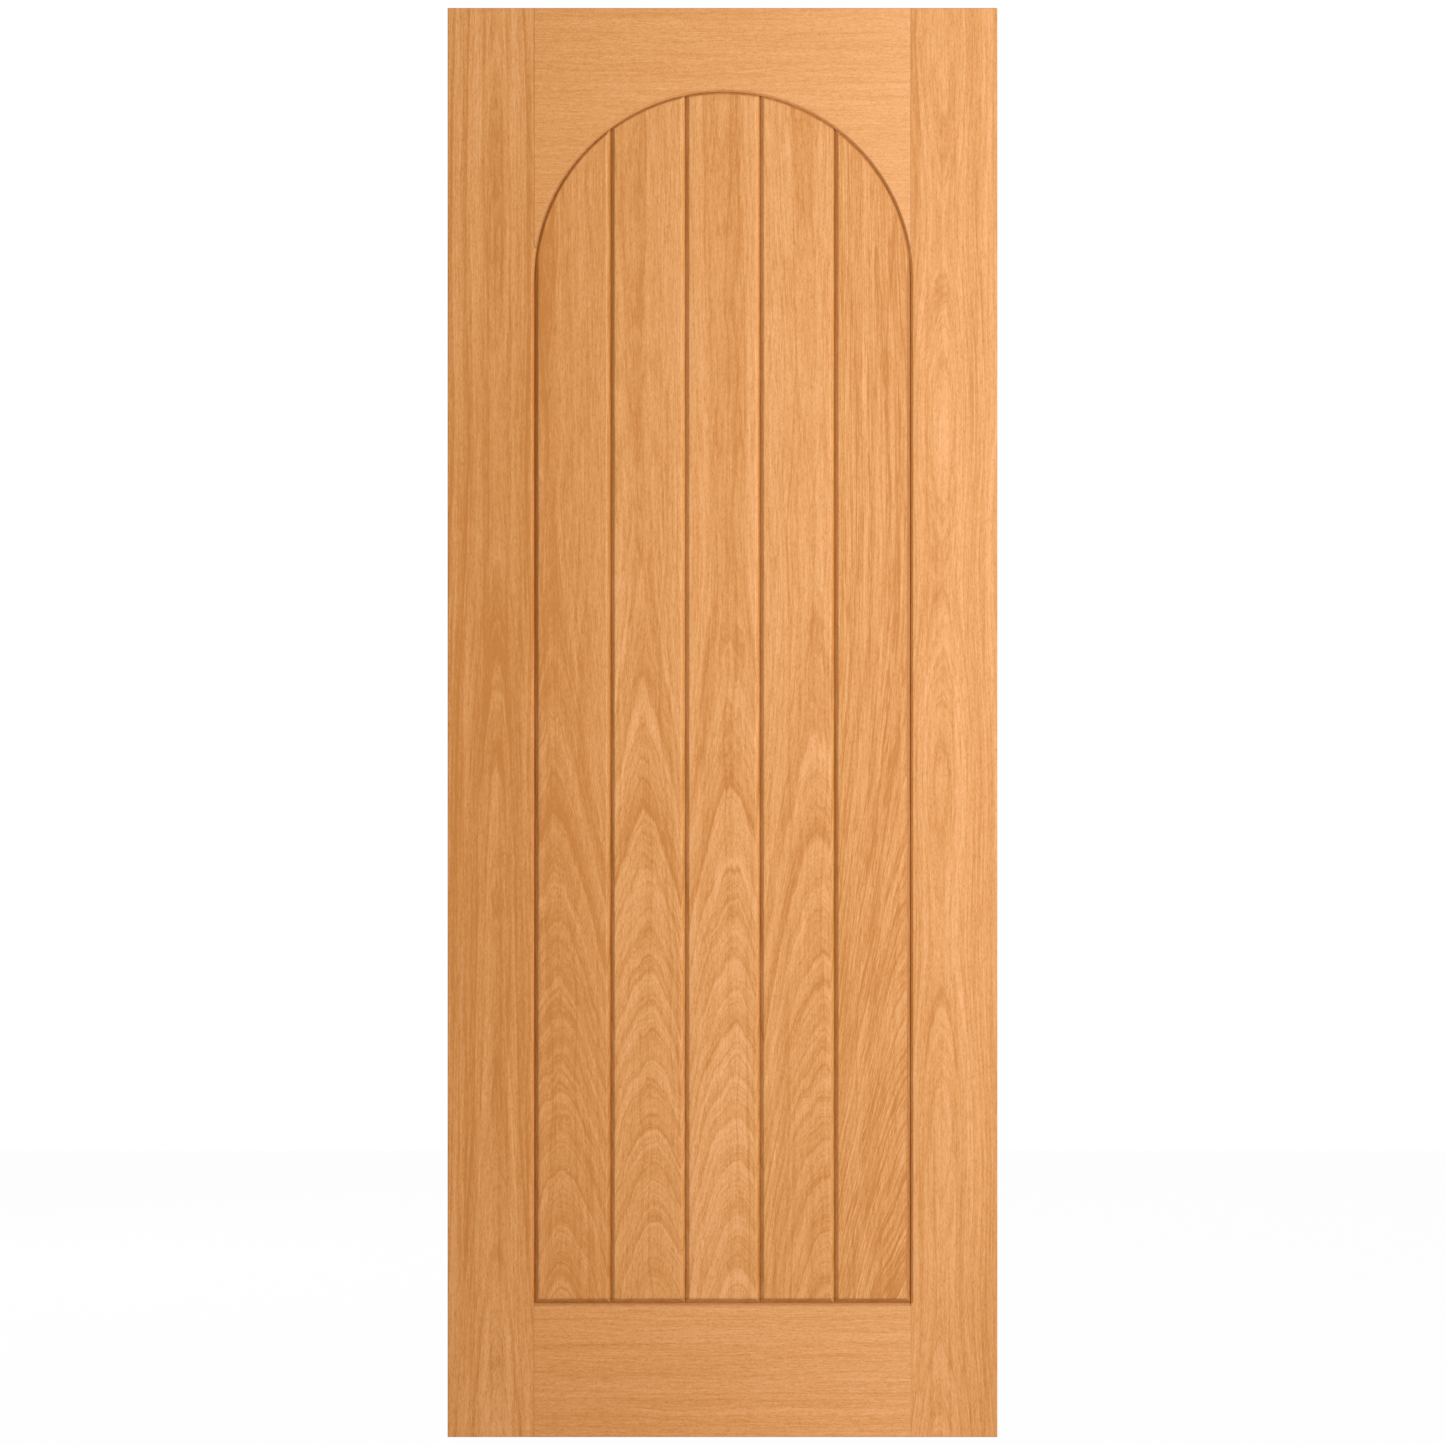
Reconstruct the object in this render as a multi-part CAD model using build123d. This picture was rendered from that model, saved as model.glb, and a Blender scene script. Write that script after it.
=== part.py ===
from build123d import *
from math import cos, pi, sin, sqrt
import os

# Framed and boarded door leaf with a semicircular panel head, in millimetres.
# Origin: middle of the bottom edge, at half thickness. X runs along the width, Z up,
# and the front face looks towards -Y.

# Leaf
leaf_width = 762
leaf_height = 1981
leaf_thickness = 35
leaf_arris = 1            # chamfer round the outer edge of both faces

# Framing members
stile_width = 120
crown_height = 116        # depth of the top rail above the crown of its arch
bottom_rail_height = 186
bottom_rail_ease = 5.5    # rounding of the bottom rail's upper edges
frame_ease = 3.2          # chamfer on the edges of the stiles and the arch beside the panel
horn_tip = 3.8            # thickness at which each horn of the top rail is cut off

# Groove round the inside of the frame, shared by the panel and the rails' stub tenons
groove_width = 12
groove_depth = 13
tongue_play = 0.15        # clearance on each cheek of a tongue
tip_gap = 1               # clearance between a tongue or tenon and the bottom of its groove
tenon_land = 15           # solid rail between the arched groove and each stub tenon

# Boards of the panel
board_count = 5
board_pitch = 103.4       # from joint to joint: the outer boards take the rest of the opening
v_chamfer = 5.5           # chamfer on every straight edge of a board
arch_chamfer = 3.5        # chamfer on the arched ends
panel_gap = 0.15          # clearance between the panel and the stiles and arch
board_gap = 0.15          # clearance between the shoulders of two boards
board_tongue_width = 9
board_tongue_depth = 9
board_tongue_ease = 1     # chamfer on the tip of a board's tongue

# Dowels, shared out along each joint
dowels_per_joint = 3
dowel_diameter = 10
dowel_length = 120
dowel_ease = 1.5          # chamfer on each end
dowel_play = 0.1          # clearance between a dowel and the wall of its hole
dowel_end_gap = 2         # room for glue at the bottom of a hole
dowel_edge_distance = 40  # first dowel, from the end of the leaf
dowel_cover = 12          # solid rail between a dowel and the panel groove
flute_count = 12
flute_depth = 0.5

overrun = 5               # how far cuts run past the faces they open

# Derived places
half_leaf = leaf_width / 2
half_opening = half_leaf - stile_width
half_thickness = leaf_thickness / 2
spring_height = leaf_height - crown_height - half_opening
horn_height = spring_height + sqrt(half_opening**2 - (half_opening - horn_tip) ** 2)
groove_bottom = half_opening + groove_depth
tongue_reach = groove_depth - tip_gap
tenon_end = half_opening + tongue_reach
dowel_hole_reach = dowel_length / 2 + dowel_end_gap
dowel_radius = dowel_diameter / 2


def plate(face, thickness):
    """Extrude a face drawn in X and Z to both sides of the middle of the leaf."""
    return extrude(Plane.XZ * face, amount=thickness / 2, both=True)


def block(x_from, x_to, z_from, z_to, thickness):
    """Block of a given thickness, centred in the leaf, between two places in X and in Z."""
    face = Rectangle(abs(x_to - x_from), abs(z_to - z_from))
    return plate(Pos((x_from + x_to) / 2, (z_from + z_to) / 2) * face, thickness)


def arched_face(half_width, bottom):
    """Upright face with straight sides and a semicircular head about the arch's centre."""
    outline = Curve() + [
        Line((-half_width, bottom), (half_width, bottom)),
        Line((half_width, bottom), (half_width, spring_height)),
        CenterArc((0, spring_height), half_width, 0, 180),
        Line((-half_width, spring_height), (-half_width, bottom)),
    ]
    return make_face(outline)


def face_edges(shape, keep):
    """Edges that lie in the front or back face of the leaf and pass a test on their middle."""
    from_front_to_back = shape.edges().group_by(Axis.Y)
    on_faces = from_front_to_back[0] + from_front_to_back[-1]
    return on_faces.filter_by(lambda edge: keep(edge.center()))


def evenly_spaced(first, last, count):
    step = (last - first) / max(count - 1, 1)
    return [first + step * index for index in range(count)]


def top_dowel_heights():
    """From just above the arched groove, where the holes end, to near the top edge."""
    hole_end = half_opening - dowel_hole_reach
    groove_height = spring_height + sqrt(groove_bottom**2 - hole_end**2)
    lowest = groove_height + dowel_cover + dowel_radius
    return evenly_spaced(lowest, leaf_height - dowel_edge_distance, dowels_per_joint)


def bottom_dowel_heights():
    """From near the bottom edge to just below the bottom rail's groove."""
    highest = bottom_rail_height - groove_depth - dowel_cover - dowel_radius
    return evenly_spaced(dowel_edge_distance, highest, dowels_per_joint)


def rod_along_x(radius, length, x_middle, height):
    return Pos(x_middle, 0, height) * Rot(0, 90, 0) * Cylinder(radius, length)


def dowel_holes(side, heights):
    """Holes across one joint, as deep in the stile as in the rail."""
    radius = dowel_radius + dowel_play
    return [
        rod_along_x(radius, 2 * dowel_hole_reach, side * half_opening, height)
        for height in heights
    ]


def stile(side):
    """Upright member: -1 is the left one and 1 the right one, seen from the front.

    Between the springing and the end of the horn it carries the foot of the arch.
    """
    beside_panel = block(
        side * (half_opening - horn_tip),
        side * half_leaf,
        bottom_rail_height,
        horn_height,
        leaf_thickness,
    )
    opening = arched_face(half_opening, bottom_rail_height - overrun)
    beside_panel -= plate(opening, leaf_thickness + overrun)
    inner_edges = face_edges(beside_panel, lambda middle: abs(middle.X) < half_opening + leaf_arris)
    body = block(side * half_opening, side * half_leaf, 0, leaf_height, leaf_thickness)
    body += beside_panel
    outer_edges = face_edges(body, lambda middle: abs(middle.X) > half_opening + leaf_arris)
    body = chamfer(outer_edges, leaf_arris)
    body -= beside_panel - chamfer(inner_edges, frame_ease)
    mouth = side * (half_opening - overrun)
    body -= block(mouth, side * groove_bottom, -overrun, leaf_height + overrun, groove_width)
    return body - dowel_holes(side, top_dowel_heights() + bottom_dowel_heights())


def stub_tenons(z_low, z_high):
    """Tongues on both ends of a rail, which fill the stiles' grooves."""
    return block(-tenon_end, tenon_end, z_low, z_high, groove_width)


def top_rail():
    """Rail with an arched lower edge, whose horns run down both stiles."""
    body = block(-half_opening, half_opening, horn_height, leaf_height, leaf_thickness)
    tenon_low = spring_height + sqrt(groove_bottom**2 - half_opening**2) + tenon_land
    body = chamfer(face_edges(body, lambda middle: middle.Z > leaf_height - leaf_arris), leaf_arris)
    body += stub_tenons(tenon_low, leaf_height)
    body -= plate(Pos(0, spring_height) * Circle(half_opening), leaf_thickness + overrun)
    arch_edges = face_edges(body, lambda middle: True).filter_by(GeomType.CIRCLE)
    body = chamfer(arch_edges, frame_ease)
    body -= plate(Pos(0, spring_height) * Circle(groove_bottom), groove_width)
    return body - dowel_holes(-1, top_dowel_heights()) - dowel_holes(1, top_dowel_heights())


def bottom_rail():
    """Straight rail with the panel groove along its upper edge."""
    body = block(-half_opening, half_opening, 0, bottom_rail_height, leaf_thickness)
    body = chamfer(face_edges(body, lambda middle: middle.Z < leaf_arris), leaf_arris)
    upper_edges = face_edges(body, lambda middle: middle.Z > bottom_rail_height - leaf_arris)
    body = fillet(upper_edges, bottom_rail_ease)
    groove_floor = bottom_rail_height - groove_depth
    body += stub_tenons(0, groove_floor)
    body -= block(
        -half_opening - overrun,
        half_opening + overrun,
        groove_floor,
        bottom_rail_height + overrun,
        groove_width,
    )
    return body - dowel_holes(-1, bottom_dowel_heights()) - dowel_holes(1, bottom_dowel_heights())


def panel_blank():
    """The whole panel before it is parted into boards: chamfered body and tongue all round."""
    shoulder = half_opening - panel_gap
    straight = block(-shoulder, shoulder, bottom_rail_height, leaf_height, leaf_thickness)
    arched = plate(arched_face(shoulder, bottom_rail_height), leaf_thickness)
    body = chamfer(face_edges(straight, lambda middle: True), v_chamfer)
    body &= chamfer(face_edges(arched, lambda middle: True), arch_chamfer)
    tongue_face = arched_face(half_opening + tongue_reach, bottom_rail_height - tongue_reach)
    return body + plate(tongue_face, groove_width - 2 * tongue_play)


def shoulder_points(shoulder, inwards):
    """Outline of one jointed edge, from the front face to the back face."""
    chamfer_end = shoulder + inwards * v_chamfer
    chamfer_depth = half_thickness - v_chamfer
    return [
        (chamfer_end, -half_thickness),
        (shoulder, -chamfer_depth),
        (shoulder, chamfer_depth),
        (chamfer_end, half_thickness),
    ]


def board_tongue(shoulder):
    """Section of the tongue on a board's right edge, with an eased tip."""
    tip = shoulder + board_gap + board_tongue_depth
    root = shoulder - v_chamfer
    face = Pos((root + tip) / 2, 0) * Rectangle(tip - root, board_tongue_width)
    return chamfer(face.vertices().sort_by(Axis.X)[-2:], board_tongue_ease)


def board_groove(shoulder):
    """Section of the groove in a board's left edge."""
    floor = shoulder + board_tongue_depth + tip_gap
    mouth = shoulder - overrun
    width = board_tongue_width + 2 * tongue_play
    return Pos((mouth + floor) / 2, 0) * Rectangle(floor - mouth, width)


def board(index, blank):
    """One board, parted from the blank by a section with its own tongue and groove."""
    left_line = (index - board_count / 2) * board_pitch
    right_line = left_line + board_pitch
    is_first = index == 0
    is_last = index == board_count - 1
    left = -groove_bottom if is_first else left_line + board_gap / 2
    right = groove_bottom if is_last else right_line - board_gap / 2
    square_left = [(left, -half_thickness), (left, half_thickness)]
    square_right = [(right, -half_thickness), (right, half_thickness)]
    left_side = square_left if is_first else shoulder_points(left, 1)
    right_side = square_right if is_last else shoulder_points(right, -1)
    section = make_face(Polyline(*left_side, *reversed(right_side), close=True))
    if not is_last:
        section += board_tongue(right)
    if not is_first:
        section -= board_groove(left)
    return blank & extrude(section, amount=leaf_height)


def dowel():
    """Fluted rod along Z with chamfered ends."""
    points = []
    for step in range(2 * flute_count):
        radius = dowel_radius - flute_depth * (step % 2)
        angle = pi * step / flute_count
        points.append((radius * cos(angle), radius * sin(angle)))
    fluted = extrude(make_face(Polyline(*points, close=True)), amount=dowel_length / 2, both=True)
    rod = Cylinder(dowel_radius, dowel_length)
    return fluted & chamfer(rod.edges().filter_by(GeomType.CIRCLE), dowel_ease)


def dowel_group(side, heights):
    """The dowels of one joint, half in the stile and half in the rail."""
    place = Rot(0, 90, 0) * dowel()
    return Compound(children=[Pos(side * half_opening, 0, height) * place for height in heights])


def build():
    nodes = {
        "left_stile": stile(-1),
        "right_stile": stile(1),
        "top_rail": top_rail(),
        "bottom_rail": bottom_rail(),
        "dowels_top_left": dowel_group(-1, top_dowel_heights()),
        "dowels_top_right": dowel_group(1, top_dowel_heights()),
        "dowels_bottom_left": dowel_group(-1, bottom_dowel_heights()),
        "dowels_bottom_right": dowel_group(1, bottom_dowel_heights()),
    }
    blank = panel_blank()
    for index in range(board_count):
        nodes[f"board_{index + 1}"] = board(index, blank)
    return nodes


os.makedirs("parts", exist_ok=True)
for name, shape in build().items():
    export_step(shape, f"parts/{name}.step")
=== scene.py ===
from math import tau
from typing import NamedTuple

import bpy
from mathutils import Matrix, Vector


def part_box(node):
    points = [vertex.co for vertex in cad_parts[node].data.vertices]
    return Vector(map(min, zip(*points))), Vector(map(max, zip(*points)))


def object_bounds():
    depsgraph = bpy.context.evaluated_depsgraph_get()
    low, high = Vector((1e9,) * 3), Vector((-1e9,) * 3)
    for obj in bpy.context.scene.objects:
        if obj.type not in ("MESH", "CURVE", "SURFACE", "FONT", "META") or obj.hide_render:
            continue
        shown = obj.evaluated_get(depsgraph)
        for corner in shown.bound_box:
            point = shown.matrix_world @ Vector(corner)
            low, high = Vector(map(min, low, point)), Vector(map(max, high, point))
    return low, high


# A framed and boarded oak door leaf, seen straight on. Places are in metres in the frame of the
# solids: X along the width, Z up, and the front face towards -Y. The figure of the wood is in
# millimetres.

MILLIMETRES = 1000  # in a metre

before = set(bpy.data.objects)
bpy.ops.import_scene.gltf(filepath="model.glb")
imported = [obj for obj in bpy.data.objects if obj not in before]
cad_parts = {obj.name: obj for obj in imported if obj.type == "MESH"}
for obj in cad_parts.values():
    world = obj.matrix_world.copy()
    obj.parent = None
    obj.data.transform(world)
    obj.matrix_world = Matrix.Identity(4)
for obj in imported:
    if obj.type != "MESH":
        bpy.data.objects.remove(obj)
cad_low, cad_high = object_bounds()
leaf_size = cad_high - cad_low
leaf_middle = (cad_low + cad_high) / 2
half_thickness = leaf_size.y / 2 * MILLIMETRES
leaf_length = leaf_size.z * MILLIMETRES
dowel_low, dowel_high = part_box("dowels_top_right")
stile_line = (dowel_low.x + dowel_high.x) / 2 * MILLIMETRES
panel_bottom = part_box("bottom_rail")[1].z * MILLIMETRES
horn_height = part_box("top_rail")[0].z * MILLIMETRES
panel_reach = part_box("board_5")[1].x * MILLIMETRES
spring_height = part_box("board_3")[1].z * MILLIMETRES - panel_reach

# The photograph: a square picture with the leaf in its middle
PHOTO_SIDE = 1445
LEAF_HEIGHT_IN_PHOTO = 1429.3
CAMERA_DISTANCE = 6.0
SENSOR_WIDTH = 36.0


class Nodes:
    """Short calls that add nodes to one node tree and give back their outputs."""

    def __init__(self, tree):
        self.tree = tree
        tree.nodes.clear()

    def add(self, kind, **settings):
        node = self.tree.nodes.new(kind)
        for name, value in settings.items():
            setattr(node, name, value)
        return node

    def put(self, value, socket):
        """Link an output to a socket, or write a plain value in it."""
        if isinstance(value, bpy.types.NodeSocket):
            self.tree.links.new(value, socket)
        else:
            socket.default_value = value

    def math(self, operation, *values):
        node = self.add("ShaderNodeMath", operation=operation)
        for value, socket in zip(values, node.inputs):
            self.put(value, socket)
        return node.outputs[0]

    def product(self, first, *others):
        for other in others:
            first = self.math("MULTIPLY", first, other)
        return first

    def total(self, first, *others):
        for other in others:
            first = self.math("ADD", first, other)
        return first

    def swing(self, value, size):
        """A value from 0 to 1 as a deviation about nothing, of a given size each way."""
        return self.math("MULTIPLY_ADD", value, 2 * size, -size)

    def step(self, value, start, end):
        """Smooth change from 0 at start to 1 at end."""
        node = self.add("ShaderNodeMapRange", interpolation_type="SMOOTHSTEP")
        self.put(value, node.inputs["Value"])
        self.put(start, node.inputs["From Min"])
        self.put(end, node.inputs["From Max"])
        return node.outputs["Result"]

    def noise(self, place, detail=2.0, roughness=0.5):
        node = self.add("ShaderNodeTexNoise")
        self.put(place, node.inputs["Vector"])
        self.put(1.0, node.inputs["Scale"])
        self.put(detail, node.inputs["Detail"])
        self.put(roughness, node.inputs["Roughness"])
        return node.outputs["Fac"]

    def noise_along(self, value, detail=1.0):
        """Smooth noise over one number."""
        node = self.add("ShaderNodeTexNoise", noise_dimensions="1D")
        self.put(value, node.inputs["W"])
        self.put(1.0, node.inputs["Scale"])
        self.put(detail, node.inputs["Detail"])
        return node.outputs["Fac"]

    def chance(self, number):
        """A value from 0 to 1 that is settled by a whole number."""
        node = self.add("ShaderNodeTexWhiteNoise", noise_dimensions="1D")
        self.put(number, node.inputs["W"])
        return node.outputs["Value"]

    def ramp(self, value, *stops):
        """Colours at rising places from 0 to 1."""
        node = self.add("ShaderNodeValToRGB")
        elements = node.color_ramp.elements
        for end, (place, _) in zip(elements, (stops[0], stops[-1])):
            end.position = place
        for place, _ in stops[1:-1]:
            elements.new(place)
        for element, (_, colour) in zip(elements, stops):
            element.color = (*colour, 1.0)
        self.put(value, node.inputs["Fac"])
        return node.outputs["Color"]

    def shaded(self, share, colour, shade):
        """A colour multiplied by a shade, as far as a share from 0 to 1 says."""
        node = self.add("ShaderNodeMix", data_type="RGBA", blend_type="MULTIPLY")
        factor, first, second = node.inputs[0], node.inputs[6], node.inputs[7]
        self.put(share, factor)
        self.put(colour, first)
        self.put((*shade, 1.0), second)
        return node.outputs[2]


class Grain(NamedTuple):
    """One kind of noise in the wood: the size of its cells in millimetres, and how fine it is."""

    across: float
    along: float
    detail: float = 2.0
    roughness: float = 0.5


class Figure(NamedTuple):
    """How a member was sawn from its log, in millimetres, and how strong its markings are."""

    seed: float
    axis: float              # across the member, where the middle of the log runs behind it
    lean: float = 0.0        # how far that place moves across for each millimetre along
    depth: float = 92.0      # from the middle of the member to the middle of the log, at the turn
    turn: float = 1240.0     # along the member, where the log lies deepest
    bend_below: float = 6.7e-5   # depth lost for each square millimetre below the turn
    bend_above: float = 2.0e-5   # and above it
    wave: float = 0.0        # size of a slow wave in the depth
    wave_length: float = 500.0
    wave_at: float = 0.0     # along the member, a crest of that wave
    roundness: float = 0.78  # of the rings across the member, where 1 is a circle
    point: float = 0.0       # how pointed the rings' arches are
    sway: float = 9.0        # sideways wander of the log
    swell: float = 1.8       # broad bumps in the rings
    ruffle: float = 1.3      # small bumps in the rings
    tear: float = 0.30       # raggedness of a ring along the fibres
    calm: float = 1.0        # length of all those bumps
    ring: float = 3.4        # between strong rings
    known_rings: tuple = ()  # strong rings seen in the photograph, in place of chance ones
    ring_depth: float = 0.50     # strength of those rings
    hair: float = 0.9            # between the hairlines that follow the rings
    hair_depth: float = 0.34     # strength of those hairlines
    reach: float = 1.0       # length of streaks, fibres and pores
    draw: float = 0.0        # how fast streaks, lines and bumps get longer along the member
    drift: float = 0.0       # sideways wander of streaks and lines
    streaks: float = 1.0     # strength of the broader streaks
    lines: float = 0.0       # strength of soft lines along the grain
    veins: float = 0.0       # strength of thin dark lines that follow the rings
    tone: float = 0.0        # darker above 0, paler below; partly the wood's own tone, partly painted shade on the members to the left, away from the key
    painted_light_slope: float = 0.0      # painted light and shade: how much paler the member gets for each metre along, towards the key
    painted_light_at_ends: float = 0.0   # painted light: how much paler the ends of a stile are than its middle, where the key's light falls off


# Colours of the wood, from pale to dark
LIGHT_OAK = (0.830, 0.413, 0.174)
MIDDLE_OAK = (0.670, 0.293, 0.085)
DARK_OAK = (0.520, 0.188, 0.030)
PALE_BEECH = (0.74, 0.52, 0.32)
DARK_BEECH = (0.58, 0.37, 0.2)

# Painted light and shade that multiply the oak's colour in the grooves and on the edges, and the
# dark of the glue lines at the joints
PAINTED_FLANK_LIGHT = (0.98, 1.05, 1.15)
PAINTED_GROOVE_SHADE = (0.83, 0.78, 0.66)
PAINTED_RIM_SHADE = (0.79, 0.75, 0.68)
PAINTED_EDGE_SHADE = (0.76, 0.73, 0.68)
JOINT_SHADE = (0.62, 0.52, 0.40)

# Growth rings
RING_EDGE = 0.25        # half the width of the change of tone at a known ring, in millimetres
RING_CONTRAST = 1.7     # power that sets dark known rings apart from pale ones
MEAN_KNOWN_RING = 0.30  # about their mean tone, taken off
RING_PACE = 0.6         # how fast the spacing of chance rings changes from ring to ring
RING_UNEVENNESS = 0.6   # how far they stray from an even spacing, in rings
RING_START = 0.12       # share of a ring in which its dark line begins
RING_FADE = 2.0         # power by which that line fades towards the next ring
RING_BODY = 0.5         # tone of the whole ring, as a share of its line's
MEAN_CHANCE_RING = 0.4  # about their mean tone, taken off
BLUNTNESS = 7.0         # of the tops of pointed arches, in millimetres

# Kinds of noise in the wood
SWAY = Grain(50, 260)
SWELL = Grain(34, 130, detail=3)
RUFFLE = Grain(11, 44)
TEAR = Grain(2.4, 30, detail=3, roughness=0.6)
WANDER = Grain(60, 260)
SLOW = Grain(22, 700)
STREAK = Grain(5, 420, detail=3, roughness=0.6)
LINE = Grain(2.6, 260, detail=3, roughness=0.7)
VEIN = Grain(1.8, 260, detail=3, roughness=0.6)
FIBRE = Grain(2.0, 22, detail=3, roughness=0.65)
SPECK = Grain(1.3, 4.5, roughness=0.6)
HAIR_LENGTH = 140
HAIR_ROUGHNESS = 0.6
BEECH_FIBRE = Grain(1.2, 40, detail=3)
BEECH_FLECK = Grain(0.5, 3, detail=1)

# Values of its noise at which each of these starts and is full
DARK_STREAKS = (0.45, 0.75)
PORES = (0.55, 0.68)
FLECKS = (0.6, 0.7)
VEIN_WIDTH = 0.04       # from the middle of its noise, where a vein has faded out

# Strength of the markings that all oak has, and the tone about which they lie
SLOW_DEPTH = 0.26
STREAK_DEPTH = 0.32
FIBRE_DEPTH = 0.37
SPECK_DEPTH = 0.32
PORE_DEPTH = 0.15
MEAN_TONE = 0.36
FLECK_DEPTH = 0.2       # of the beech

# Surface: lacquered oak, and bare beech
LACQUER_ROUGHNESS = 0.37
GRAIN_ROUGHNESS = 0.12  # added by fibres, and again by pores
SPECULAR_LEVEL = 0.4
OAK_RELIEF = (0.15, 0.0003)    # strength of the fine relief, and its depth in metres
PORE_RELIEF = 0.5       # depth of a pore, as a share of the fibres' relief
BEECH_ROUGHNESS = 0.6
BEECH_GRAIN_ROUGHNESS = 0.2    # added by fibres
BEECH_RELIEF = (0.2, 0.0002)

# Painted light and shade in the grooves and on the edges, then the sanded edges and the glue lines,
# in millimetres. Depths lie below the face of the leaf, and distances outside the edge of the
# opening, below 0 inside it.
PAINTED_FLANK_LIGHT_DEPTHS = (0.3, 1.5)   # where the painted light on the upper flank of a groove starts and is full
PAINTED_GROOVE_SHADE_DEPTHS = (2.4, 4.4)  # where the painted shade at its bottom starts and is full
RIM_SHIFT = 0.9             # the painted shade round the panel lies a little to the right
RIM_AT_ARCH = -4.6          # where it starts at the arch
RIM_WIDER = 3.8             # how much further in it starts at the straight edges
RIM_GROWTH = 2.6            # from its start to its full strength
RIM_END = (-3.6, -1.4)      # where it fades out at the straight edges
RIM_LOST_ON_LEFT = 0.35     # share that the left edge lacks
ARCH_FOOT = 40              # above the springing, where the arch has its own width of painted shade
EDGE_LOST_AT_CROWN = 0.7    # share of the painted shade on the top rail's edge that the crown lacks
CROWN_REACH = (130, 250)    # above the springing, where that share starts and is full
ARRIS_RADIUS = 0.0022       # of the sanded edges, in metres
ARRIS_REACH = (7.0, 4.0)    # where a frame member's sanded edge starts and is full
JOINT_WIDTH = (0.25, 1.0)   # from the middle of a glue line, where it starts to fade and is gone
JOINT_FADE = 4              # length in which a glue line starts or ends
TOP_JOINT = 0.75            # strength of the glue lines at the top rail
BOTTOM_JOINT = 0.25         # and at the bottom rail

FLOOR_PAINT = (0.6, 0.6, 0.6, 1.0)
WHITE = (1.0, 1.0, 1.0, 1.0)


def new_material(name):
    """An empty material, and the nodes to fill it with."""
    material = bpy.data.materials.new(name)
    material.use_nodes = True
    return material, Nodes(material.node_tree)


def grain_space(nodes, upright):
    """Place in the member in millimetres: across the grain, through the leaf, along the grain."""
    place = nodes.add("ShaderNodeTexCoord").outputs["Object"]
    scale = nodes.add("ShaderNodeVectorMath", operation="SCALE")
    nodes.put(place, scale.inputs["Vector"])
    nodes.put(MILLIMETRES, scale.inputs["Scale"])
    parts = nodes.add("ShaderNodeSeparateXYZ")
    nodes.put(scale.outputs[0], parts.inputs[0])
    x, y, z = parts.outputs
    return (x, y, z) if upright else (z, y, x)


def grain_noise(nodes, place, grain, seed, reach=1.0):
    """Noise from 0 to 1 in cells of the grain's size, with their length times the reach.

    Each noise of a member has a seed of its own, a sum or a multiple of the member's.
    """
    cell = (grain.across, grain.across, grain.along * reach)
    node = nodes.add("ShaderNodeCombineXYZ")
    for value, size, socket in zip(place, cell, node.inputs):
        nodes.put(nodes.math("MULTIPLY_ADD", value, 1 / size, seed), socket)
    return nodes.noise(node.outputs[0], grain.detail, grain.roughness)


def thin_lines(nodes, noise):
    """Thin lines where a noise passes its middle."""
    from_middle = nodes.math("SUBTRACT", noise, 0.5)
    return nodes.step(nodes.math("ABSOLUTE", from_middle), VEIN_WIDTH, 0.0)


def drawn_out(nodes, place, draw):
    """The place, with lengths along the grain that grow upwards."""
    if not draw:
        return place
    across, through, along = place
    shrinking = nodes.math("EXPONENT", nodes.math("MULTIPLY", along, -draw))
    return across, through, nodes.math("MULTIPLY", shrinking, -1 / draw)


def log_radius(nodes, place, figure):
    """Distance from the middle of the log, which sets the growth rings."""
    across, through, along = place
    from_turn = nodes.math("SUBTRACT", along, figure.turn)
    axis = nodes.math("MULTIPLY_ADD", from_turn, figure.lean, figure.axis)
    off_axis = nodes.math("SUBTRACT", across, axis)
    log_place = drawn_out(nodes, (off_axis, through, along), figure.draw)
    seed, calm = figure.seed, figure.calm
    sway = grain_noise(nodes, log_place, SWAY, seed, calm)
    swell = grain_noise(nodes, log_place, SWELL, seed + 5, calm)
    ruffle = grain_noise(nodes, log_place, RUFFLE, seed * 5, calm)
    tear = grain_noise(nodes, place, TEAR, seed * 7, calm)

    sideways = nodes.math("ADD", off_axis, nodes.swing(sway, figure.sway))
    sideways = nodes.math("MULTIPLY", sideways, figure.roundness)
    below = nodes.math("MINIMUM", from_turn, 0.0)
    above = nodes.math("MAXIMUM", from_turn, 0.0)
    from_crest = nodes.math("SUBTRACT", along, figure.wave_at)
    wave = nodes.math("COSINE", nodes.math("MULTIPLY", from_crest, tau / figure.wave_length))
    depth = nodes.total(
        nodes.math("SUBTRACT", figure.depth, through),
        nodes.product(below, below, -figure.bend_below),
        nodes.product(above, above, -figure.bend_above),
        nodes.math("MULTIPLY", wave, figure.wave),
    )
    squares = nodes.math("MULTIPLY_ADD", sideways, sideways, nodes.math("MULTIPLY", depth, depth))
    blunt_squares = nodes.math("MULTIPLY_ADD", sideways, sideways, BLUNTNESS**2)
    return nodes.total(
        nodes.math("SQRT", squares),
        nodes.math("MULTIPLY", nodes.math("SQRT", blunt_squares), figure.point),
        -figure.point * BLUNTNESS,
        nodes.swing(swell, figure.swell),
        nodes.swing(ruffle, figure.ruffle),
        nodes.swing(tear, figure.tear),
    )


def chance_rings(nodes, radius, width, seed):
    """Growth rings about nothing: each has its own tone, and begins at a dark porous line."""
    plain_count = nodes.math("MULTIPLY_ADD", radius, 1 / width, seed)
    uneven = nodes.noise_along(nodes.math("MULTIPLY", plain_count, RING_PACE))
    count = nodes.math("ADD", plain_count, nodes.swing(uneven, RING_UNEVENNESS))
    part = nodes.math("FRACT", count)
    ring_tone = nodes.chance(nodes.math("FLOOR", count))
    start = nodes.step(part, 0.0, RING_START)
    fade = nodes.math("POWER", nodes.math("SUBTRACT", 1.0, part), RING_FADE)
    line = nodes.product(start, fade, ring_tone)
    return nodes.total(line, nodes.math("MULTIPLY", ring_tone, RING_BODY), -MEAN_CHANCE_RING)


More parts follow.
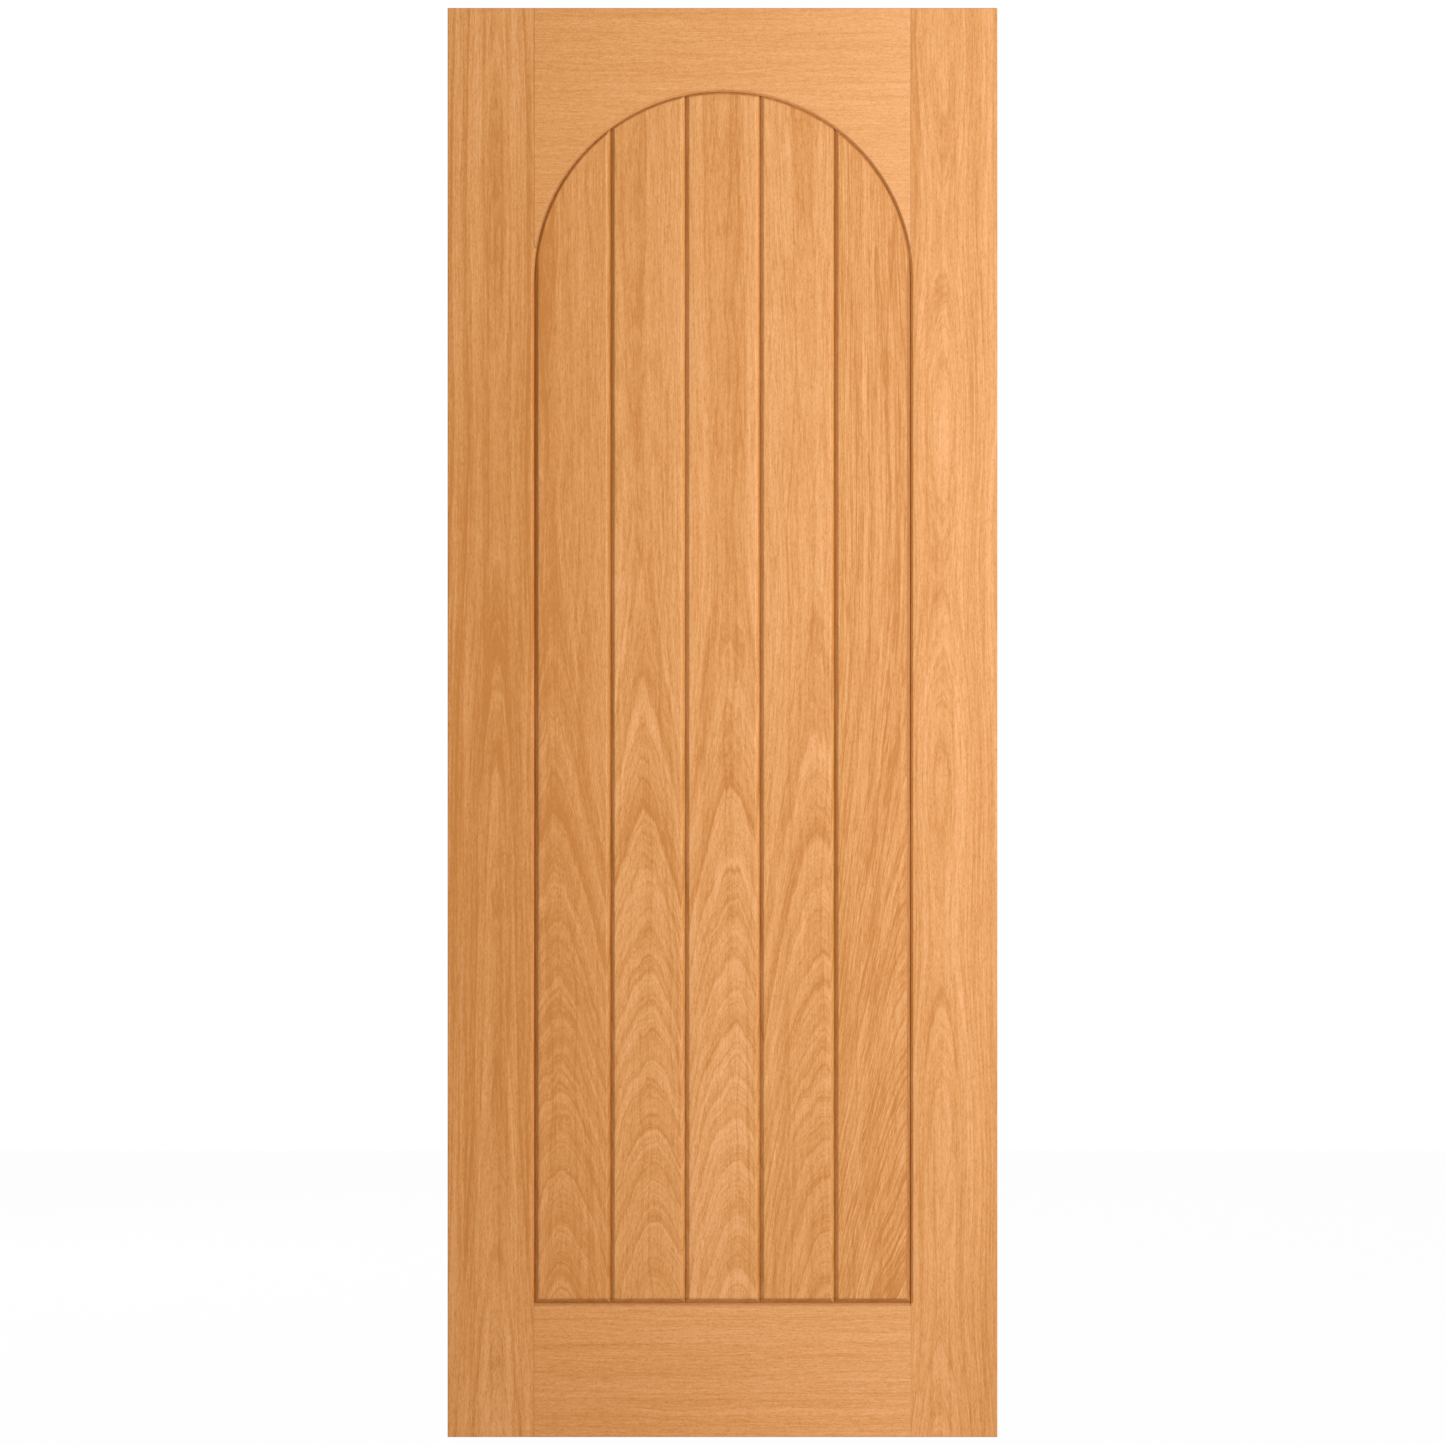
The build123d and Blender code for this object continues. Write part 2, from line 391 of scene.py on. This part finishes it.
def listed_rings(nodes, radius, known_rings):
    """Growth rings about nothing, from a list of their radii and the tones inside and outside."""
    first, last = known_rings[0][0], known_rings[-1][0]
    reach = last - first + 2 * RING_EDGE
    start = first - RING_EDGE
    stops = []
    for ring, inside, outside in known_rings:
        stops.append(((ring - start - RING_EDGE) / reach, (inside,) * 3))
        stops.append(((ring - start + RING_EDGE) / reach, (outside,) * 3))
    place = nodes.math("MULTIPLY_ADD", radius, 1 / reach, -start / reach)
    tone = nodes.math("POWER", nodes.ramp(place, *stops), RING_CONTRAST)
    return nodes.math("SUBTRACT", tone, MEAN_KNOWN_RING)


def oak_shade(nodes, place, figure):
    """Tone of the oak from 0, pale, to 1, dark, and the fibres and pores that roughen it."""
    across, through, along = place
    seed, reach = figure.seed, figure.reach

    radius = log_radius(nodes, place, figure)
    if figure.known_rings:
        strong_ring = listed_rings(nodes, radius, figure.known_rings)
    else:
        strong_ring = chance_rings(nodes, radius, figure.ring, seed)
    in_rings = (radius, through, along)
    hairline = Grain(figure.hair, HAIR_LENGTH, roughness=HAIR_ROUGHNESS)
    hair = grain_noise(nodes, in_rings, hairline, seed * 19, reach)
    vein = thin_lines(nodes, grain_noise(nodes, in_rings, VEIN, seed * 29, reach))

    wander = grain_noise(nodes, place, WANDER, seed * 31, reach)
    drifted = nodes.math("ADD", across, nodes.swing(wander, figure.drift))
    drawn = drawn_out(nodes, (drifted, through, along), figure.draw)
    slow = grain_noise(nodes, drawn, SLOW, seed + 3, reach)
    streak = grain_noise(nodes, drawn, STREAK, seed * 11, reach)
    dark_streak = nodes.step(streak, *DARK_STREAKS)
    line = grain_noise(nodes, drawn, LINE, seed * 23, reach)

    fibre = grain_noise(nodes, place, FIBRE, seed * 13, reach)
    speck = grain_noise(nodes, place, SPECK, seed * 17, reach)
    pore = nodes.step(speck, *PORES)
    to_end = nodes.math("MULTIPLY_ADD", along, 2 / leaf_length, -1.0)

    shade = nodes.total(
        nodes.math("MULTIPLY", strong_ring, figure.ring_depth),
        nodes.swing(hair, figure.hair_depth),
        nodes.swing(slow, SLOW_DEPTH * figure.streaks),
        nodes.math("MULTIPLY", dark_streak, STREAK_DEPTH * figure.streaks),
        nodes.swing(fibre, FIBRE_DEPTH),
        nodes.swing(speck, SPECK_DEPTH),
        nodes.math("MULTIPLY", pore, PORE_DEPTH),
        nodes.swing(line, figure.lines),
        nodes.math("MULTIPLY", vein, figure.veins),
        nodes.product(to_end, to_end, -figure.painted_light_at_ends),
        nodes.math("MULTIPLY", along, -figure.painted_light_slope / MILLIMETRES),
        MEAN_TONE + figure.tone,
    )
    return shade, fibre, pore


def wood_surface(nodes, colour, roughness, height, relief):
    """Set the surface of a wood, with a fine relief. Gives back its shader and relief nodes."""
    shader = nodes.add("ShaderNodeBsdfPrincipled")
    output = nodes.add("ShaderNodeOutputMaterial")
    bump = nodes.add("ShaderNodeBump")
    strength, distance = relief
    nodes.put(colour, shader.inputs["Base Color"])
    nodes.put(roughness, shader.inputs["Roughness"])
    nodes.put(strength, bump.inputs["Strength"])
    nodes.put(distance, bump.inputs["Distance"])
    nodes.put(height, bump.inputs["Height"])
    nodes.put(bump.outputs[0], shader.inputs["Normal"])
    nodes.put(shader.outputs[0], output.inputs["Surface"])
    return shader, bump


def oak(name, figure, upright=True, in_panel=False, painted_edge_shade_reach=0.0):
    """Lacquered oak: rings, streaks, fibres and pores, all through the solid, with painted light and
    shade in and beside the grooves.

    A rail's edge beside the panel gets painted shade, up to the given reach in millimetres from the
    opening.
    """
    material, nodes = new_material(name)
    place = grain_space(nodes, upright)
    shade, fibre, pore = oak_shade(nodes, place, figure)
    colour = nodes.ramp(shade, (0.0, LIGHT_OAK), (0.5, MIDDLE_OAK), (1.0, DARK_OAK))

    across, through, along = place
    x, z = (across, along) if upright else (along, across)
    if in_panel:
        sunk = nodes.math("SUBTRACT", half_thickness, nodes.math("ABSOLUTE", through))
        # Painted light on the upper flanks of the grooves, paler and less orange
        colour = nodes.shaded(nodes.step(sunk, *PAINTED_FLANK_LIGHT_DEPTHS), colour, PAINTED_FLANK_LIGHT)
        # Painted shade at the bottoms of the grooves
        colour = nodes.shaded(nodes.step(sunk, *PAINTED_GROOVE_SHADE_DEPTHS), colour, PAINTED_GROOVE_SHADE)
        # Painted shade round the edge of the panel
        colour = nodes.shaded(painted_rim_shade(nodes, x, z), colour, PAINTED_RIM_SHADE)
        arris_radius = ARRIS_RADIUS
    else:
        outside = past_opening(nodes, x, z)
        # Painted shade along a rail's edge beside the panel
        if painted_edge_shade_reach:
            colour = nodes.shaded(painted_edge_shade(nodes, outside, z, painted_edge_shade_reach), colour, PAINTED_EDGE_SHADE)
        colour = nodes.shaded(joint_lines(nodes, x, z), colour, JOINT_SHADE)
        near_opening = nodes.step(outside, *ARRIS_REACH)
        arris_radius = nodes.math("MULTIPLY", near_opening, ARRIS_RADIUS)

    roughness = nodes.total(
        LACQUER_ROUGHNESS,
        nodes.math("MULTIPLY", fibre, GRAIN_ROUGHNESS),
        nodes.math("MULTIPLY", pore, GRAIN_ROUGHNESS),
    )
    height = nodes.math("SUBTRACT", fibre, nodes.math("MULTIPLY", pore, PORE_RELIEF))
    shader, bump = wood_surface(nodes, colour, roughness, height, OAK_RELIEF)
    nodes.put(SPECULAR_LEVEL, shader.inputs["Specular IOR Level"])
    arris = nodes.add("ShaderNodeBevel", samples=6)
    nodes.put(arris_radius, arris.inputs["Radius"])
    nodes.put(arris.outputs[0], bump.inputs["Normal"])
    return material


def past_opening(nodes, x, z):
    """Distance outside the arched edge round the panel, below 0 inside it."""
    up = nodes.math("MAXIMUM", nodes.math("SUBTRACT", z, spring_height), 0.0)
    squares = nodes.math("MULTIPLY_ADD", x, x, nodes.math("MULTIPLY", up, up))
    beside = nodes.math("SUBTRACT", nodes.math("SQRT", squares), stile_line)
    below = nodes.math("SUBTRACT", panel_bottom, z)
    return nodes.math("MAXIMUM", beside, below)


def painted_edge_shade(nodes, outside, z, reach):
    """Share of the painted shade on a rail's edge beside the panel, which thins towards the crown.
    """
    above_spring = nodes.math("SUBTRACT", z, spring_height)
    near_crown = nodes.step(above_spring, *CROWN_REACH)
    strength = nodes.math("MULTIPLY_ADD", near_crown, -EDGE_LOST_AT_CROWN, 1.0)
    return nodes.math("MULTIPLY", nodes.step(outside, reach, reach / 2), strength)


def painted_rim_shade(nodes, x, z):
    """Share of the painted shade on the chamfer round the panel.

    It is wider at the straight edges than at the arch, and weaker on the left.
    """
    outside = past_opening(nodes, nodes.math("SUBTRACT", x, RIM_SHIFT), z)
    straight = nodes.step(z, spring_height + ARCH_FOOT, spring_height)
    start = nodes.math("MULTIPLY_ADD", straight, -RIM_WIDER, RIM_AT_ARCH)
    valley = nodes.product(nodes.step(outside, *RIM_END), straight)
    rim = nodes.step(outside, start, nodes.math("ADD", start, RIM_GROWTH))
    on_left = nodes.step(x, 0.0, -stile_line)
    strength = nodes.math("MULTIPLY_ADD", on_left, -RIM_LOST_ON_LEFT, 1.0)
    return nodes.product(rim, nodes.math("SUBTRACT", 1.0, valley), strength)


def joint_lines(nodes, x, z):
    """Share of the thin dark glue lines between rails and stiles, fainter at the bottom rail."""
    from_line = nodes.math("SUBTRACT", nodes.math("ABSOLUTE", x), stile_line)
    off_line = nodes.step(nodes.math("ABSOLUTE", from_line), *JOINT_WIDTH)
    on_line = nodes.math("SUBTRACT", 1.0, off_line)
    at_top = nodes.step(z, horn_height - JOINT_FADE, horn_height + JOINT_FADE)
    at_bottom = nodes.step(z, panel_bottom, panel_bottom - JOINT_FADE)
    below = nodes.math("MULTIPLY", at_bottom, BOTTOM_JOINT)
    strength = nodes.math("MULTIPLY_ADD", at_top, TOP_JOINT, below)
    return nodes.math("MULTIPLY", on_line, strength)


def beech(name):
    """Bare beech of the hidden dowels: pale, with short dark flecks along the grain."""
    material, nodes = new_material(name)
    place = grain_space(nodes, upright=False)
    fibre = grain_noise(nodes, place, BEECH_FIBRE, seed=2.0)
    fleck = nodes.step(grain_noise(nodes, place, BEECH_FLECK, seed=5.0), *FLECKS)
    shade = nodes.total(fibre, nodes.math("MULTIPLY", fleck, FLECK_DEPTH))
    colour = nodes.ramp(shade, (0.2, PALE_BEECH), (0.8, DARK_BEECH))
    roughness = nodes.math("MULTIPLY_ADD", fibre, BEECH_GRAIN_ROUGHNESS, BEECH_ROUGHNESS)
    wood_surface(nodes, colour, roughness, fibre, BEECH_RELIEF)
    return material


def dress(node, material):
    """Give a piece its one material."""
    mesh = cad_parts[node].data
    mesh.materials.clear()
    mesh.materials.append(material)


FIBRE_DRAW = 0.00104  # the streaks, lines and bumps of the boards get longer towards the top

# The first four boards are neighbouring slices of one log, so their rings match. Each entry is the
# place of the log's middle across the leaf at the turn, its lean, its depth, how fast that is lost
# above the turn, and the board's tone, partly the wood's own and partly painted shade, darker on the
# boards to the left, away from the key.
BOARDS = {
    "board_1": (-239.0, -0.017, 93.0, 0.4e-5, 0.24),
    "board_2": (-116.0, -0.022, 92.5, 0.4e-5, 0.09),
    "board_3": (7.0, -0.014, 90.9, 0.1e-5, 0.02),
    "board_4": (124.0, -0.022, 94.3, 0.6e-5, 0.07),
}
# Radius of each strong ring, with the tone just inside it and just outside it, chosen so that the
# arches lie about where the photograph shows them
LOG_RINGS = (
    (40.5, 0.40, 0.78),
    (50.7, 0.30, 0.74),
    (60.0, 0.26, 0.76),
    (66.5, 0.18, 0.78),
    (72.1, 0.24, 0.74),
    (75.9, 0.18, 0.72),
    (78.6, 0.38, 0.84),
    (82.5, 0.26, 0.74),
    (86.3, 0.24, 0.78),
    (90.0, 0.36, 0.70),
    (92.3, 0.45, 0.70),
    (96.6, 0.15, 0.65),
    (100.9, 0.35, 1.00),
    (107.3, 0.18, 0.68),
    (111.2, 0.74, 0.36),
    (116.0, 0.50, 0.38),
)

for number, (board, (axis, lean, depth, bend_above, tone)) in enumerate(BOARDS.items()):
    figure = Figure(
        seed=3.0 + 0.06 * number, axis=axis, lean=lean, depth=depth, bend_above=bend_above,
        roundness=0.66, point=0.10, swell=1.5, ruffle=0.85, tear=0.3, known_rings=LOG_RINGS,
        hair=0.45, draw=FIBRE_DRAW, drift=20.0, streaks=0.85, lines=0.14, veins=0.22, tone=tone,
    )
    dress(board, oak(f"oak_{board}", figure, in_panel=True))

# The last board comes from further out in a log, so its rings cross it aslant
outer_figure = Figure(
    seed=9.0, axis=300, depth=262, bend_below=3.6e-5, bend_above=0.5e-5,
    swell=0.8, ruffle=0.35, tear=0.12, ring=1.2, ring_depth=0.28, hair=0.45, hair_depth=0.64,
    draw=FIBRE_DRAW, drift=12.0, streaks=0.7, lines=0.16, veins=0.4, tone=0.14,
)
dress("board_5", oak("oak_board_5", outer_figure, in_panel=True))

# The left stile's dark tone is partly painted shade away from the key, and its paler ends are
# painted light
left_figure = Figure(
    seed=21.0, axis=-314, depth=90, turn=2000, bend_below=0.5e-5,
    wave=1.5, wave_length=900, wave_at=1300, roundness=0.85, point=0.12,
    swell=0.8, ruffle=0.4, tear=0.2, calm=2.5, ring=2.8, ring_depth=0.31,
    lines=0.1, veins=0.18, tone=0.38, painted_light_at_ends=0.28,
)
right_figure = Figure(
    seed=34.0, axis=303, depth=90, turn=2000, bend_below=0.4e-5,
    wave=2.2, wave_length=500, wave_at=1180, roundness=0.85, point=0.12,
    swell=0.8, ruffle=0.4, tear=0.2, calm=2.5, ring=2.8, ring_depth=0.26,
    streaks=0.8, lines=0.1, veins=0.2, tone=0.04,
)
dress("left_stile", oak("oak_left_stile", left_figure))
dress("right_stile", oak("oak_right_stile", right_figure))
# Each rail grows paler towards the right: painted light from the key
top_figure = Figure(
    seed=47.0, axis=2400, depth=160, turn=0, swell=4.0,
    ring_depth=0.08, hair_depth=0.30, reach=0.45, streaks=0.4, tone=0.02, painted_light_slope=0.45,
)
bottom_figure = Figure(
    seed=58.0, axis=-260, depth=140, turn=0, swell=3.0,
    ring_depth=0.10, hair_depth=0.35, reach=0.65, streaks=0.5, tone=0.04, painted_light_slope=0.45,
)
dress("top_rail", oak("oak_top_rail", top_figure, upright=False, painted_edge_shade_reach=4.5))
dress("bottom_rail", oak("oak_bottom_rail", bottom_figure, upright=False, painted_edge_shade_reach=6.5))

dowel_beech = beech("beech_dowels")
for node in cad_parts:
    if node.startswith("dowels"):
        dress(node, dowel_beech)


def seen_rays(nodes):
    """1 for rays that show a surface straight, mirrored or through glass, and 0 for its light."""
    path = nodes.add("ShaderNodeLightPath")
    kinds = [path.outputs[f"Is {kind} Ray"] for kind in ("Camera", "Glossy", "Transmission")]
    return nodes.math("MINIMUM", nodes.total(*kinds), 1.0)


def make_floor(side, whiteness):
    """Pale floor that looks nearly white and still shows the shadow of the leaf."""
    corner = side / 2
    mesh = bpy.data.meshes.new("floor")
    points = [(-corner, -corner, 0), (corner, -corner, 0), (corner, corner, 0), (-corner, corner, 0)]
    mesh.from_pydata(points, [], [(0, 1, 2, 3)])
    floor = bpy.data.objects.new("floor", mesh)
    bpy.context.scene.collection.objects.link(floor)
    material, nodes = new_material("floor_paint")
    paint = nodes.add("ShaderNodeBsdfDiffuse")
    nodes.put(FLOOR_PAINT, paint.inputs["Color"])
    glow = nodes.add("ShaderNodeEmission")
    blend = nodes.add("ShaderNodeMixShader")
    nodes.put(nodes.math("MULTIPLY", seen_rays(nodes), whiteness), blend.inputs[0])
    nodes.put(paint.outputs[0], blend.inputs[1])
    nodes.put(glow.outputs[0], blend.inputs[2])
    output = nodes.add("ShaderNodeOutputMaterial")
    nodes.put(blend.outputs[0], output.inputs["Surface"])
    mesh.materials.append(material)


def make_world(strength):
    """Even light from all round, and plain white wherever it is seen."""
    world = bpy.data.worlds.new("studio")
    bpy.context.scene.world = world
    world.use_nodes = True
    nodes = Nodes(world.node_tree)
    background = nodes.add("ShaderNodeBackground")
    nodes.put(WHITE, background.inputs["Color"])
    level = nodes.math("MULTIPLY_ADD", seen_rays(nodes), 1 - strength, strength)
    nodes.put(level, background.inputs["Strength"])
    output = nodes.add("ShaderNodeOutputWorld")
    nodes.put(background.outputs[0], output.inputs["Surface"])


def make_softbox(name, place, aim, size, power):
    """Rectangular lamp at one place that shines towards another."""
    lamp = bpy.data.lights.new(name, "AREA")
    lamp.shape = "RECTANGLE"
    lamp.size, lamp.size_y = size
    lamp.energy = power
    softbox = bpy.data.objects.new(name, lamp)
    softbox.location = place
    softbox.rotation_euler = (Vector(aim) - Vector(place)).to_track_quat("-Z", "Y").to_euler()
    bpy.context.scene.collection.objects.link(softbox)


def make_camera():
    """Straight on, level with the middle of the leaf, framed as the photograph is."""
    seen_height = leaf_size.z * PHOTO_SIDE / LEAF_HEIGHT_IN_PHOTO
    lens = bpy.data.cameras.new("camera")
    lens.sensor_width = SENSOR_WIDTH
    lens.lens = SENSOR_WIDTH * CAMERA_DISTANCE / seen_height
    camera = bpy.data.objects.new("camera", lens)
    camera.location = (leaf_middle.x, cad_low.y - CAMERA_DISTANCE, leaf_middle.z)
    camera.rotation_euler = (tau / 4, 0, 0)
    bpy.context.scene.collection.objects.link(camera)
    bpy.context.scene.camera = camera


make_floor(side=8.0, whiteness=0.98)
make_world(strength=0.28)
# The key lights the front from the right, as in the photograph, and the other lamp the back
make_softbox("key", place=(2.0, -2.95, 1.62), aim=(0.1, 0, 1.02), size=(1.2, 1.6), power=119)
make_softbox("back_fill", place=(-1.6, 2.3, 1.8), aim=(-0.1, 0, 1.1), size=(1.0, 1.4), power=72)
make_camera()
bpy.context.scene.view_settings.view_transform = "Standard"
